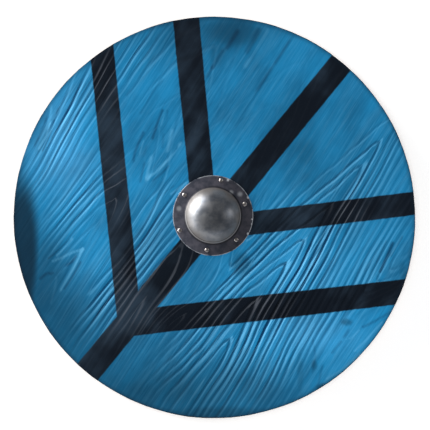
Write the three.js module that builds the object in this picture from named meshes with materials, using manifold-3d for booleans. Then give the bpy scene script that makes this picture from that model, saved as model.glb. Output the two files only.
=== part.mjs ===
// A round wooden shield with a steel boss, lying on its back with its painted front up.
// Millimetres, +Z up, +Y towards the top of the front. The origin is below the middle of the
// board, on the surface that the shield lies on.

import * as THREE from 'three';
import { mergeVertices } from 'three/addons/utils/BufferGeometryUtils.js';
import Module from 'manifold-3d';

const wasm = await Module();
wasm.setup();

// Driving dimensions: the board, sawn from one sheet of plywood
const boardRadius = 432;
const boardThickness = 10;
const boardArris = 0.8;

// Driving dimensions: the boss, pressed from sheet steel
const bossX = -3.2;
const bossY = 3.9;
const bossSteel = 2;
const bossFlangeRadius = 86.3;
const bossFlangeArris = 0.5;
const bossFillet = 4;
const bossDomeFootRadius = 60.5;
const bossDomeLean = 62;
const handHoleInset = 1.5;

// Driving dimensions: the rivets. They are set by eye, so each has its own angle in degrees and
// its own drift, from -1 at the fillet to 1 at the flange's edge. Two of them also hold the grip.
const rivetSettings = [
  { angle: 20, drift: -0.45, holdsGrip: false },
  { angle: 77, drift: 0.4, holdsGrip: false },
  { angle: 144, drift: 0.1, holdsGrip: true },
  { angle: 204, drift: 0.45, holdsGrip: false },
  { angle: 260, drift: -0.05, holdsGrip: false },
  { angle: 314, drift: -0.58, holdsGrip: true },
];
const rivetHeadRadius = 5;
const rivetHeadHeight = 3.4;
const rivetShankRadius = 2.5;
const rivetTailRadius = 4.4;
const rivetTailHeight = 1.8;
const shankClearance = 0.3;

// Driving dimensions: the wooden grip across the hand hole
const gripLength = 420;
const gripWidth = 36;
const gripDepth = 24;
const gripCorner = 3;
const gripPadLength = 46;
const gripPadDepth = 13;
const gripTaperLength = 48;
const gripNoseLength = 14;
const gripNoseShare = 0.45;
const graspWidth = 30;
const graspCorner = 9;
const graspBlend = 30;
const tailRecessPlay = 1.6;
const tailRecessCover = 1.2;

// Driving dimensions: the wood screws in the ends of the grip
const screwHeadRadius = 4.2;
const screwHeadHeight = 2.6;
const screwShankRadius = 1.9;
const screwBite = 6.5;
const screwSlotWidth = 1.2;
const screwSlotDepth = 1.1;
const screwTipPlay = 0.5;

// How finely the round forms are cut
const boardSides = 144;
const bossSides = 60;
const rivetSides = 12;
const domeSteps = 10;
const filletSteps = 3;
const headSteps = 3;
const gripCornerSteps = 3;
const gripSteps = 52;

// Heights and radii that follow
const boardBack = gripDepth;
const boardFront = boardBack + boardThickness;
const domeLean = THREE.MathUtils.degToRad(bossDomeLean);
const ballRadius = bossDomeFootRadius / Math.sin(domeLean);
const filletHeight = bossSteel + bossFillet;
const ballHeight = filletHeight - (bossFillet + ballRadius) * Math.cos(domeLean);
const handHoleRadius = bossDomeFootRadius - bossSteel - handHoleInset;
const flangeInnerRadius = bossDomeFootRadius + bossFillet * Math.sin(domeLean);
const rivetCircleRadius = (flangeInnerRadius + bossFlangeRadius) / 2;
const rivetDriftRange = (bossFlangeRadius - flangeInnerRadius) / 2 - rivetHeadRadius;
const rivetHoleRadius = rivetShankRadius + shankClearance;
const screwHoleRadius = screwShankRadius + shankClearance;
const tailRecessDepth = rivetTailHeight + tailRecessCover;

// Finishes
const finishes = {
  paint: new THREE.MeshStandardMaterial({ color: 0x2d82b4, roughness: 0.7, metalness: 0 }),
  steel: new THREE.MeshStandardMaterial({ color: 0x6c7076, roughness: 0.3, metalness: 1 }),
  rivet: new THREE.MeshStandardMaterial({ color: 0xb9b7b2, roughness: 0.3, metalness: 1 }),
  wood: new THREE.MeshStandardMaterial({ color: 0x9c7347, roughness: 0.8, metalness: 0 }),
  screw: new THREE.MeshStandardMaterial({ color: 0x8b8d90, roughness: 0.4, metalness: 1 }),
};

// Points on a quarter or any other stretch of an ellipse, angles in degrees
function arc(centreX, centreY, radiusX, radiusY, from, to, steps) {
  return Array.from({ length: steps + 1 }, (_, i) => {
    const angle = THREE.MathUtils.degToRad(from + ((to - from) * i) / steps);
    return new THREE.Vector2(centreX + radiusX * Math.cos(angle), centreY + radiusY * Math.sin(angle));
  });
}

// A turned form whose profile starts and ends on the axis, the axis standing along Z
function turned(profile, sides) {
  const onAxis = profile.map((point, i) => {
    const end = i === 0 || i === profile.length - 1;
    return end ? new THREE.Vector2(0, point.y) : point;
  });
  return new THREE.LatheGeometry(onAxis, sides).rotateX(Math.PI / 2);
}

// A bare cylinder along Z from one height to another
function rod(x, y, radius, low, high, sides = rivetSides) {
  const geometry = new THREE.CylinderGeometry(radius, radius, high - low, sides);
  return geometry.rotateX(Math.PI / 2).translate(x, y, (low + high) / 2);
}

// A closed geometry as a solid that can be cut
function solid(geometry) {
  const bare = geometry.clone();
  bare.deleteAttribute('normal');
  bare.deleteAttribute('uv');
  const merged = mergeVertices(bare, 1e-4);
  const index = merged.index.array;
  const kept = [];
  for (let i = 0; i < index.length; i += 3) {
    const [a, b, c] = index.slice(i, i + 3);
    if (a !== b && b !== c && c !== a) kept.push(a, b, c);
  }
  const vertProperties = new Float32Array(merged.attributes.position.array);
  return new wasm.Manifold(new wasm.Mesh({ numProp: 3, vertProperties, triVerts: new Uint32Array(kept) }));
}

// One geometry less a list of others
function cut(geometry, cutters) {
  const body = cutters.reduce((rest, cutter) => rest.subtract(solid(cutter)), solid(geometry));
  const mesh = body.getMesh();
  const result = new THREE.BufferGeometry();
  result.setAttribute('position', new THREE.BufferAttribute(mesh.vertProperties, 3));
  result.setIndex(new THREE.BufferAttribute(mesh.triVerts, 1));
  result.computeVertexNormals();
  return result;
}

function piece(name, geometry, material) {
  const mesh = new THREE.Mesh(geometry, material);
  mesh.name = name;
  return mesh;
}

// Where a rivet stands, measured from the middle of the boss
function rivetPlace({ angle, drift }) {
  const radius = rivetCircleRadius + drift * rivetDriftRange;
  const radians = THREE.MathUtils.degToRad(angle);
  return new THREE.Vector2(radius * Math.cos(radians), radius * Math.sin(radians));
}

// The grip lies along the line through its two rivets. Distances along it are counted from the
// point of that line that is nearest to the middle of the boss.
const gripEnds = rivetSettings.filter((setting) => setting.holdsGrip).map(rivetPlace);
const gripWay = gripEnds[0].clone().sub(gripEnds[1]).normalize();
const gripStations = gripEnds.map((place) => place.dot(gripWay));
const gripFoot = gripEnds[0].clone().addScaledVector(gripWay, -gripStations[0]);
const gripAngle = Math.atan2(gripWay.y, gripWay.x);
const screwStations = [1, -1].map((side) => side * (gripLength - gripPadLength) / 2);

// The underside of the grip: flat in the middle, rising over a taper to a thinner pad at each end
function gripUnderside(station) {
  const taperEnd = gripLength / 2 - gripPadLength;
  const risen = THREE.MathUtils.smoothstep(Math.abs(station), taperEnd - gripTaperLength, taperEnd);
  return risen * (gripDepth - gripPadDepth);
}

// How far the grip has narrowed from its seats on the board to the grasp inside the hand hole
function graspShare(station) {
  return 1 - THREE.MathUtils.smoothstep(Math.abs(station), handHoleRadius - graspBlend, handHoleRadius);
}

// The ends of the grip are rounded in plan
function noseShare(station) {
  const into = Math.max(0, Math.abs(station) - (gripLength / 2 - gripNoseLength)) / gripNoseLength;
  return 1 - gripNoseShare * (1 - Math.sqrt(1 - Math.min(1, into * into)));
}

// A point on the grip's rounded section, counted round from the middle of the right side
function gripSectionPoint(station, index) {
  const grasp = graspShare(station);
  const halfWidth = THREE.MathUtils.lerp(gripWidth, graspWidth, grasp) * noseShare(station) / 2;
  const low = gripUnderside(station);
  const halfDepth = (gripDepth - low) / 2;
  const corner = Math.min(THREE.MathUtils.lerp(gripCorner, graspCorner, grasp), halfDepth, halfWidth);
  const perCorner = gripCornerSteps + 1;
  const quarter = Math.floor(index / perCorner);
  const angle = (quarter + (index % perCorner) / gripCornerSteps) * Math.PI / 2;
  const sideways = quarter === 0 || quarter === 3 ? 1 : -1;
  const upwards = quarter < 2 ? 1 : -1;
  return {
    across: sideways * (halfWidth - corner) + corner * Math.cos(angle),
    up: low + halfDepth + upwards * (halfDepth - corner) + corner * Math.sin(angle),
  };
}

// The grip bar, lying along X with its flat underside at height 0
function gripBlank() {
  const sides = 4 * (gripCornerSteps + 1);
  const geometry = new THREE.CylinderGeometry(1, 1, 2, sides, gripSteps);
  const position = geometry.attributes.position;
  for (let i = 0; i < position.count; i += 1) {
    const [x, y, z] = [position.getX(i), position.getY(i), position.getZ(i)];
    const station = gripLength / 2 * Math.sin(y * Math.PI / 2);
    const turn = (Math.atan2(x, z) / (2 * Math.PI) + 1) % 1;
    const rim = gripSectionPoint(station, Math.round(turn * sides) % sides);
    const middle = (gripDepth + gripUnderside(station)) / 2;
    const share = Math.round(Math.hypot(x, z));
    position.setXYZ(i, station, share * rim.across, middle + share * (rim.up - middle));
  }
  return geometry;
}

// The board: a disc with rubbed arrises, the hand hole, and holes for the rivets and screws
function boardGeometry() {
  const inner = boardRadius - boardArris;
  const disc = turned([
    new THREE.Vector2(0, boardBack),
    new THREE.Vector2(inner, boardBack),
    new THREE.Vector2(boardRadius, boardBack + boardArris),
    new THREE.Vector2(boardRadius, boardFront - boardArris),
    new THREE.Vector2(inner, boardFront),
    new THREE.Vector2(0, boardFront),
  ], boardSides);
  const below = boardBack - boardThickness;
  const above = boardFront + boardThickness;
  const handHole = rod(bossX, bossY, handHoleRadius, below, above, bossSides);
  const rivetHoles = rivetSettings.map((setting) => {
    const place = rivetPlace(setting);
    return rod(bossX + place.x, bossY + place.y, rivetHoleRadius, below, above);
  });
  const screwHoles = screwStations.map((station) => {
    const place = gripFoot.clone().addScaledVector(gripWay, station);
    const end = boardBack + screwBite + screwTipPlay;
    return rod(bossX + place.x, bossY + place.y, screwHoleRadius, below, end);
  });
  return cut(disc, [handHole, ...rivetHoles, ...screwHoles]);
}

// The boss: flange, fillet and a dome that is part of a ball, all of one thickness and open behind.
// The dome's wall leans by bossDomeLean where it leaves the fillet. Height 0 is the flange's
// underside.
function bossGeometry() {
  const filletBack = bossFillet + bossSteel;
  const filletEnd = 270 - bossDomeLean;
  const domeStart = 90 - bossDomeLean;
  const ballInside = ballRadius - bossSteel;
  const rim = bossFlangeRadius - bossFlangeArris;
  const shell = turned([
    ...arc(0, ballHeight, ballInside, ballInside, 90, domeStart, domeSteps),
    ...arc(flangeInnerRadius, filletHeight, filletBack, filletBack, filletEnd, 270, filletSteps),
    new THREE.Vector2(rim, 0),
    new THREE.Vector2(bossFlangeRadius, bossFlangeArris),
    new THREE.Vector2(bossFlangeRadius, bossSteel - bossFlangeArris),
    new THREE.Vector2(rim, bossSteel),
    ...arc(flangeInnerRadius, filletHeight, bossFillet, bossFillet, 270, filletEnd, filletSteps),
    ...arc(0, ballHeight, ballRadius, ballRadius, domeStart, 90, domeSteps),
  ], bossSides);
  const holes = rivetSettings.map((setting) => {
    const place = rivetPlace(setting);
    return rod(place.x, place.y, rivetHoleRadius, -bossSteel, 2 * bossSteel);
  });
  return cut(shell, holes);
}

// A rivet with a domed head at height 0 and a peened tail below what it holds together
function rivetGeometry(held) {
  return turned([
    ...arc(0, -held, rivetTailRadius, rivetTailHeight, -90, 0, headSteps),
    new THREE.Vector2(rivetShankRadius, -held),
    new THREE.Vector2(rivetShankRadius, 0),
    ...arc(0, 0, rivetHeadRadius, rivetHeadHeight, 0, 90, headSteps),
  ], rivetSides);
}

// A slotted wood screw driven upwards, its head below height 0
function screwGeometry(length) {
  const body = turned([
    ...arc(0, 0, screwHeadRadius, screwHeadHeight, -90, 0, headSteps),
    new THREE.Vector2(screwShankRadius, 0),
    new THREE.Vector2(screwShankRadius, length - screwShankRadius),
    new THREE.Vector2(0, length),
  ], rivetSides);
  const slot = new THREE.BoxGeometry(3 * screwHeadRadius, screwSlotWidth, 2 * screwSlotDepth);
  return cut(body, [slot.translate(0, 0, -screwHeadHeight)]);
}

function gripGeometry() {
  const cutters = gripStations.flatMap((station) => [
    rod(station, 0, rivetHoleRadius, -gripDepth, 2 * gripDepth),
    rod(station, 0, rivetTailRadius + tailRecessPlay, -gripDepth, tailRecessDepth),
  ]);
  const screwHoles = screwStations.map((station) => (
    rod(station, 0, screwHoleRadius, -gripDepth, 2 * gripDepth)
  ));
  return cut(gripBlank(), [...cutters, ...screwHoles]);
}

const shield = new THREE.Group();
shield.add(piece('shield_board', boardGeometry(), finishes.paint));

const bossSet = new THREE.Group();
bossSet.position.set(bossX, bossY, boardFront);
bossSet.add(piece('boss', bossGeometry(), finishes.steel));
rivetSettings.forEach((setting, i) => {
  const gripHeld = setting.holdsGrip ? gripDepth - tailRecessDepth : 0;
  const held = bossSteel + boardThickness + gripHeld;
  const rivet = piece(`boss_rivet_${i + 1}`, rivetGeometry(held), finishes.rivet);
  const place = rivetPlace(setting);
  rivet.position.set(place.x, place.y, bossSteel);
  bossSet.add(rivet);
});
shield.add(bossSet);

const gripSet = new THREE.Group();
gripSet.position.set(bossX + gripFoot.x, bossY + gripFoot.y, 0);
gripSet.rotation.z = gripAngle;
gripSet.add(piece('grip_bar', gripGeometry(), finishes.wood));
screwStations.forEach((station, i) => {
  const screw = piece(`grip_screw_${i + 1}`, screwGeometry(gripPadDepth + screwBite), finishes.screw);
  screw.position.set(station, 0, gripDepth - gripPadDepth);
  gripSet.add(screw);
});
shield.add(gripSet);

export default shield;
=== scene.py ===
# %% [markdown]
# # A round wooden shield with a steel boss
#
# The shield is one disc of strongly grained plywood, brushed blue, with five straight black bands,
# a riveted steel boss in the middle and a wooden grip behind. It lies on its grip with the front
# up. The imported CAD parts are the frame: every piece made here stays where its CAD part is.

# %% Load the frame
import math

import bpy
import numpy as np
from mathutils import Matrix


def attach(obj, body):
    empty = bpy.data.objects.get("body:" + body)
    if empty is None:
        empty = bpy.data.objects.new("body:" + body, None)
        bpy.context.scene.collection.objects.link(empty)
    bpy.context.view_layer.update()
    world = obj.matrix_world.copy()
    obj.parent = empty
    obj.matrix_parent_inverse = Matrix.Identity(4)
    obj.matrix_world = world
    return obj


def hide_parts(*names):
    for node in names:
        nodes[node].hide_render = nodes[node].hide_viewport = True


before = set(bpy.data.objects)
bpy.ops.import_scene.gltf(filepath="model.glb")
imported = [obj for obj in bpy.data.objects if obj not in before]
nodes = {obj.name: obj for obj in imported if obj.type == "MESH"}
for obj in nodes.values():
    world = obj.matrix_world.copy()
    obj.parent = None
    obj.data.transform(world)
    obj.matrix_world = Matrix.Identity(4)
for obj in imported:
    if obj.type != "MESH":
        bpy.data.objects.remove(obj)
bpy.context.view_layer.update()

MM = 0.001
print("CAD parts:", ", ".join(sorted(nodes)))

# %% [markdown]
# ## Camera
#
# The shield is seen square on. Because it lies down, the camera stands straight above it and looks
# down. A camera that is not turned at all looks along -Z with +Y up in the picture, so it only has
# to be moved. The distance follows from the width that the picture takes in at the board's front.

# %% Camera
BOARD_FRONT = 34 * MM
PICTURE_WIDTH = 923.3 * MM
PICTURE_MIDDLE = (1.07 * MM, 5.15 * MM)
LENS = 85
SENSOR = 36
camera_height = BOARD_FRONT + PICTURE_WIDTH * LENS / SENSOR

bpy.ops.object.camera_add(location=(*PICTURE_MIDDLE, camera_height), rotation=(0, 0, 0))
camera = bpy.context.object
camera.data.lens = LENS
camera.data.sensor_width = SENSOR
bpy.context.scene.camera = camera
print("camera height:", round(camera_height, 3), "m")

# %% [markdown]
# ## Studio
#
# A flat thing seen from straight above mirrors what is over the camera, so that place stays dark and
# the paint keeps its depth. The light comes from large soft lamps that stand low round the shield.
# The largest is at the upper left: the domed boss mirrors it there, and because it shines across the
# grain, each groove gets a dark and a bright side. The plain view transform keeps the paint's
# colours as they are mixed. One more lamp hangs overhead only to even out the light, so it is kept
# out of all reflections.

# %% Studio


def deselect_all():
    """Nothing is selected or active afterwards."""
    for thing in list(bpy.context.selected_objects):
        thing.select_set(False)
    bpy.context.view_layer.objects.active = None


def pick(piece):
    """The piece alone is selected and active."""
    deselect_all()
    piece.select_set(True)
    bpy.context.view_layer.objects.active = piece


def lamp(name, place, target, size, power, tint=(1, 1, 1)):
    """A square soft lamp at a place, facing a target."""
    bpy.ops.object.light_add(type="AREA", location=place)
    light = bpy.context.object
    light.name = name
    away = [place[i] - target[i] for i in range(3)]
    level = math.hypot(away[0], away[1])
    light.rotation_euler = (math.atan2(level, away[2]), 0, math.atan2(away[0], -away[1]))
    light.data.shape = "RECTANGLE"
    light.data.size = size[0]
    light.data.size_y = size[1]
    light.data.energy = power
    light.data.color = tint
    return light


FLOOR_SIZE = 12
SHIELD_MIDDLE = (0, 0, BOARD_FRONT)
# Direction and elevation in degrees, distance, width and height in metres, power in watts, and tint
LAMPS = {
    "window_lamp": (146, 10, 3.6, (3.4, 1.2), 190, (1.0, 0.99, 0.97)),
    "left_lamp": (196, 7, 3.2, (2.2, 0.7), 26, (1.0, 0.98, 0.95)),
    "right_lamp": (7, 26, 2.2, (0.4, 0.6), 3, (1, 1, 1)),
    "near_lamp": (266, 12, 3.2, (4.6, 1.1), 16, (1, 1, 1)),
}
FILL_PLACE = (0.25, -0.25, 3.3)
FILL_SIZE = (3.0, 3.0)
FILL_POWER = 70
AIR_COLOUR = (0.93, 0.96, 1.0, 1)
AIR_STRENGTH = 0.13


def round_the_shield(direction, elevation, distance):
    """A place round the shield: direction 0 is +X and 90 is +Y, both angles in degrees."""
    turn, climb = math.radians(direction), math.radians(elevation)
    level = distance * math.cos(climb)
    return (level * math.cos(turn), level * math.sin(turn), distance * math.sin(climb) + BOARD_FRONT)


deselect_all()
bpy.ops.mesh.primitive_plane_add(size=FLOOR_SIZE, location=(0, 0, 0))
floor = bpy.context.object
floor.name = "studio_floor"

for name, (direction, elevation, distance, size, power, tint) in LAMPS.items():
    lamp(name, round_the_shield(direction, elevation, distance), SHIELD_MIDDLE, size, power, tint)
fill = lamp("fill_lamp", FILL_PLACE, SHIELD_MIDDLE, FILL_SIZE, FILL_POWER)
fill.visible_glossy = False

world = bpy.data.worlds.new("studio_air")
bpy.context.scene.world = world
world.use_nodes = True
air = world.node_tree.nodes["Background"]
air.inputs["Color"].default_value = AIR_COLOUR
air.inputs["Strength"].default_value = AIR_STRENGTH
bpy.context.scene.view_settings.view_transform = "Standard"

# %% [markdown]
# ## Writing materials as sums
#
# A material is a tree of small nodes. Wiring dozens of Math nodes by hand hides what they work out,
# so one small class lets Python's own signs add them: `1 - mask` adds a Subtract node. Every other
# kind of node comes from one method, which sets its options first and its sockets after.

# %% A bench for materials


def paint_colour(red, green, blue):
    """A screen colour, 0 to 255 a channel, as the linear colour that a shader works with."""
    shares = [channel / 255 for channel in (red, green, blue)]
    return (*[s / 12.92 if s < 0.04045 else ((s + 0.055) / 1.055) ** 2.4 for s in shares], 1)


class Reading:
    """A value in a material that Python can reckon with."""

    def __init__(self, bench, socket):
        self.bench = bench
        self.socket = socket

    def __add__(self, other):
        return self.bench.sum("ADD", self, other)

    def __sub__(self, other):
        return self.bench.sum("SUBTRACT", self, other)

    def __rsub__(self, other):
        return self.bench.sum("SUBTRACT", other, self)

    def __mul__(self, other):
        return self.bench.sum("MULTIPLY", self, other)

    def __truediv__(self, other):
        return self.bench.sum("DIVIDE", self, other)

    def __rtruediv__(self, other):
        return self.bench.sum("DIVIDE", other, self)

    def __abs__(self):
        return self.bench.sum("ABSOLUTE", self)

    def __neg__(self):
        return self * -1

    __radd__ = __add__
    __rmul__ = __mul__


class Bench:
    """One material and the ways to add nodes to it."""

    def __init__(self, name):
        self.material = bpy.data.materials.new(name)
        self.material.use_nodes = True
        self.tree = self.material.node_tree
        self.tree.nodes.clear()

    def node(self, kind, sockets, settings=None, out=0):
        """Adds a node: its settings first, then the values or links of its sockets."""
        made = self.tree.nodes.new(kind)
        for key, value in (settings or {}).items():
            if key == "stops":
                ramp = made.color_ramp
                while len(ramp.elements) < len(value):
                    ramp.elements.new(0.5)
                for element, (place, colour) in zip(ramp.elements, value):
                    element.position = place
                    element.color = colour
            else:
                setattr(made, key, value)
        for key, value in sockets.items():
            if isinstance(value, Reading):
                self.tree.links.new(value.socket, made.inputs[key])
            else:
                made.inputs[key].default_value = value
        return Reading(self, made.outputs[out])

    def sum(self, operation, *values):
        """What a Math node works out from the values."""
        sockets = dict(enumerate(values))
        return self.node("ShaderNodeMath", sockets, {"operation": operation})

    def least(self, first, second):
        return self.sum("MINIMUM", first, second)

    def most(self, first, second):
        return self.sum("MAXIMUM", first, second)

    def rise(self, value, start, end, low=0.0, high=1.0):
        """Goes softly from low to high while the value goes from start to end."""
        sockets = {"Value": value, 1: start, 2: end, 3: low, 4: high}
        return self.node("ShaderNodeMapRange", sockets, {"interpolation_type": "SMOOTHSTEP"})

    def mix(self, share, first, second):
        """The first colour where the share is 0, the second where it is 1."""
        sockets = {0: share, 6: first, 7: second}
        return self.node("ShaderNodeMix", sockets, {"data_type": "RGBA"}, 2)

    def scale(self, colour, factor):
        """A colour made brighter or darker."""
        sockets = {0: colour, "Scale": factor}
        return self.node("ShaderNodeVectorMath", sockets, {"operation": "SCALE"})

    def place(self):
        """The place on the object, in metres."""
        return self.node("ShaderNodeTexCoord", {}, out=3)

    def split(self, vector):
        """The three coordinates of a place."""
        outputs = self.node("ShaderNodeSeparateXYZ", {0: vector}).socket.node.outputs
        return [Reading(self, outputs[axis]) for axis in range(3)]

    def vector(self, x, y, z):
        return self.node("ShaderNodeCombineXYZ", {0: x, 1: y, 2: z})

    def noise(self, vector, scale, detail=2.0, roughness=0.5):
        """Soft noise about 0, from roughly -0.5 to 0.5."""
        sockets = {"Vector": vector, "Scale": scale, "Detail": detail, "Roughness": roughness}
        return self.node("ShaderNodeTexNoise", sockets) - 0.5

    def fibres(self, place, scales, detail, roughness):
        """Noise drawn out along the grain, by a place along, across and through the wood."""
        drawn_out = [value * scale for value, scale in zip(place, scales)]
        return self.noise(self.vector(*drawn_out), 1.0, detail, roughness)

    def distance(self, x, y):
        return self.sum("SQRT", x * x + y * y)

    def attribute(self, name):
        """A number that the mesh keeps at each vertex."""
        return self.node("ShaderNodeAttribute", {}, {"attribute_name": name}, 2)

    def bump(self, height, distance, strength=1.0):
        return self.node("ShaderNodeBump", {"Height": height, "Distance": distance, "Strength": strength})

    def finish(self, **sockets):
        """Closes the material with a Principled shader. Names are the sockets' own, with _ for a space."""
        named = {key.replace("_", " "): value for key, value in sockets.items()}
        shader = self.node("ShaderNodeBsdfPrincipled", named)
        closing = self.tree.nodes.new("ShaderNodeOutputMaterial")
        self.tree.links.new(shader.socket, closing.inputs["Surface"])
        return self.material


def wear(piece, material):
    """The piece shows this one material."""
    if not piece.material_slots:
        piece.data.materials.append(material)
    for held in piece.material_slots:
        held.material = material


PAPER_SHADE = paint_colour(246, 247, 248)
PAPER_WHITE = paint_colour(252, 252, 252)

backdrop = Bench("studio_paper")
paper_tone = backdrop.noise(backdrop.place(), 3, 3)
wear(floor, backdrop.finish(
    Base_Color=backdrop.mix(0.5 + paper_tone * 0.2, PAPER_SHADE, PAPER_WHITE),
    Roughness=0.9,
    Emission_Color=(1, 1, 1, 1),
    Emission_Strength=0.33,
))
print("floor paper ready")

# %% [markdown]
# ## The landscape under the grain
#
# A rotary-cut veneer cuts through the growth rings at a shallow angle, so its pattern is a map: the
# lines are contours, long ridges give nested arches, and where a ridge falls away along the grain
# the arches close to a tip. Drawing each line would take hundreds of curves. Here only the ridges
# and troughs are named, with their place across the grain and their ring number at seven stations
# along it, and every line follows from them. Places along and across the grain count in UNITs.

# %% Ridges and troughs
UNIT = 2.147 * MM
GRAIN_ANGLE = math.radians(57)
GRAIN_MIDDLE = PICTURE_MIDDLE
STATIONS = (-180, -120, -60, 0, 60, 120, 180)
RIDGES = {
    "top ridge": ((202, 202, 197, 197, 197, 192, 188), (23.5, 23.0, 22.3, 21.0, 19.8, 17.8, 16.5)),
    "top trough": ((140, 146, 142, 144, 143, 138, 130), (15.0, 14.0, 13.8, 13.7, 13.8, 13.9, 13.6)),
    "upper slope": ((116, 113, 105, 110, 112, 110, 105), (20.0, 20.0, 20.0, 17.0, 15.7, 14.8, 14.0)),
    "upper ridge": ((97, 96, 93, 95, 97, 94, 90), (23.0, 22.3, 20.9, 18.4, 16.6, 15.3, 14.3)),
    "upper trough": ((66, 64, 60, 60, 60, 57, 55), (16.5, 15.8, 15.3, 15.8, 14.8, 13.8, 13.4)),
    "middle ridge": ((13, 14, 14, 14, 12, 10, 8), (23.6, 23.2, 22.6, 20.5, 18.0, 16.3, 14.8)),
    "middle trough": ((-16, -22, -40, -40, -36, -36, -36), (16.3, 15.6, 16.6, 14.6, 13.2, 12.9, 12.6)),
    "arch slope": ((-46, -60, -65, -66, -70, -75, -84), (21.0, 21.0, 21.0, 19.0, 17.3, 16.0, 15.2)),
    "arch ridge": ((-79, -80, -80, -86, -91, -96, -100), (24.0, 23.8, 22.4, 21.1, 19.3, 18.1, 16.5)),
    "lower slope": ((-104, -114, -119, -122, -120, -117, -115), (20.0, 18.4, 16.4, 15.4, 14.8, 14.6, 14.0)),
    "lower trough": ((-160, -163, -166, -164, -178, -184, -184), (10.5, 10.5, 8.8, 8.5, 5.2, 4.0, 3.6)),
    "bottom ridge": ((-205, -205, -205, -206, -206, -204, -200), (17.0, 16.5, 15.5, 15.0, 10.0, 8.0, 7.0)),
}
SLOPE_EASE = 0.45
TIP_ROUNDING = 3.0


def along_stations(u, values):
    """A smooth run through one value a station."""
    stations = np.array(STATIONS, float)
    values = np.array(values, float)
    tangent = np.gradient(values, stations)
    i = np.clip(np.searchsorted(stations, u) - 1, 0, len(stations) - 2)
    span = stations[i + 1] - stations[i]
    t = np.clip((u - stations[i]) / span, 0, 1)
    start = (2 * t**3 - 3 * t**2 + 1) * values[i] + (t**3 - 2 * t**2 + t) * span * tangent[i]
    return start + (3 * t**2 - 2 * t**3) * values[i + 1] + (t**3 - t**2) * span * tangent[i + 1]


def sharp_rings(u, v):
    """The ring number at a place, straight between one ridge and the next."""
    names = list(RIDGES)
    places = [along_stations(u, RIDGES[name][0]) for name in names]
    heights = [along_stations(u, RIDGES[name][1]) for name in names]
    rings = heights[0] + np.zeros_like(v)
    for k in range(len(names) - 1):
        t = np.clip((places[k] - v) / (places[k] - places[k + 1]), 0, 1)
        beside_slope = "slope" in names[k] or "slope" in names[k + 1]
        eased = t if beside_slope else t + SLOPE_EASE * (t * t * (3 - 2 * t) - t)
        rings = np.where(v <= places[k], heights[k] + (heights[k + 1] - heights[k]) * eased, rings)
    return rings


def ring_number(u, v):
    """The same with rounded ridges, and with the slow wander that a real tree has."""
    steps = (-TIP_ROUNDING, 0, TIP_ROUNDING)
    rounded = sum(share * sharp_rings(u, v + step) for share, step in zip((0.25, 0.5, 0.25), steps))
    wander = 0.04 * np.sin(u / 15 + v / 9) + 0.03 * np.sin(u / 7.5 - v / 5.5 + 2)
    rings = rounded + wander + 0.07 * np.sin(u / 29 + 1) * np.sin(v / 7)
    good_and_bad_years = 0.1 * np.sin(rings * 2.1 + 1) + 0.045 * np.sin(rings * 4.7)
    return rings + good_and_bad_years


def ring_rates(u, v):
    """How fast the ring number changes along and across the grain, in rings a millimetre."""
    step = 0.7
    reach = 2 * step * UNIT / MM
    along_rate = (ring_number(u + step, v) - ring_number(u - step, v)) / reach
    across_rate = (ring_number(u, v + step) - ring_number(u, v - step)) / reach
    return along_rate, across_rate


# Where the grain stands out (positive) or is filled and faint (negative): a place and a size along
# and across the grain, and how much
GRAIN_SHOWS = (
    (-15, 172, 66, 20, 0.58), (-65, 118, 50, 18, 0.6), (-85, 42, 70, 22, 0.65),
    (-86, 14, 40, 16, 0.3), (-60, -55, 90, 20, 0.6), (-60, -101, 110, 24, 0.8),
    (0, -108, 50, 18, 0.35), (60, -85, 62, 32, 0.36), (60, -125, 90, 25, 0.12),
    (92, -45, 36, 16, -0.25), (142, -55, 45, 22, -0.3), (30, -160, 60, 18, 0.45),
    (130, -100, 50, 22, 0.38), (-130, -70, 60, 30, 0.3), (-140, 20, 40, 25, 0.2),
    (50, 75, 40, 25, 0.1), (110, 120, 40, 40, 0.2), (88, 158, 35, 22, 0.35),
    (-35, -152, 40, 14, 0.3), (10, -60, 50, 20, 0.2), (-43, -177, 40, 18, -0.2),
    (-120, 93, 30, 9, 0.2), (20, 182, 30, 12, 0.35), (-138, 47, 30, 14, 0.3),
    (-17, 54, 32, 16, 0.3), (-4, -108, 26, 14, 0.15), (-88, -140, 48, 15, 0.45),
)
# How much the grain shows where nothing is named, and how quickly weak grain fades away
GRAIN_EVERYWHERE = 0.05
FAINTNESS = 1.25


def grain_strength(u, v):
    """0 where the grain is filled with paint, 1 where it is deepest."""
    shown = GRAIN_EVERYWHERE + np.zeros_like(u)
    for at_u, at_v, reach_u, reach_v, amount in GRAIN_SHOWS:
        far = ((u - at_u) / reach_u) ** 2 + ((v - at_v) / reach_v) ** 2
        shown = shown + amount * np.exp(-far)
    return np.clip(shown, 0.02, 1) ** FAINTNESS


def turned(x, y, angle):
    """How far a place lies along a line through the origin, and how far to the line's left."""
    cosine, sine = math.cos(angle), math.sin(angle)
    return x * cosine + y * sine, y * cosine - x * sine


def to_grain(x, y):
    """A place on the board, in metres, as along and across the grain in UNITs."""
    return turned((x - GRAIN_MIDDLE[0]) / UNIT, (y - GRAIN_MIDDLE[1]) / UNIT, GRAIN_ANGLE)


print("ridges and troughs:", len(RIDGES))

# %% [markdown]
# ## The board
#
# The CAD board is a plain disc. Its front needs relief: the soft wood between the rings has been
# brushed out, so every dark line is a shallow groove. A fine sheet of cells, turned to the grain
# and narrow across it, is made into a slab and cut to the CAD board by a Boolean, which gives it
# the board's true outline, holes and back. Then the front's vertices sink into the grooves.

# %% Cut a fine board
SHEET_SIZE = 888 * MM
ALONG_CELL = 5.2 * MM
ACROSS_CELL = 1.7 * MM
SHEET_HEIGHT = 33.95 * MM
SLAB_DEPTH = 14 * MM
LOOSE_GAP = 0.001 * MM


def in_edit_mode(work):
    """Runs a function on the active object in edit mode."""
    bpy.ops.object.mode_set(mode="EDIT")
    work()
    bpy.ops.object.mode_set(mode="OBJECT")


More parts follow.
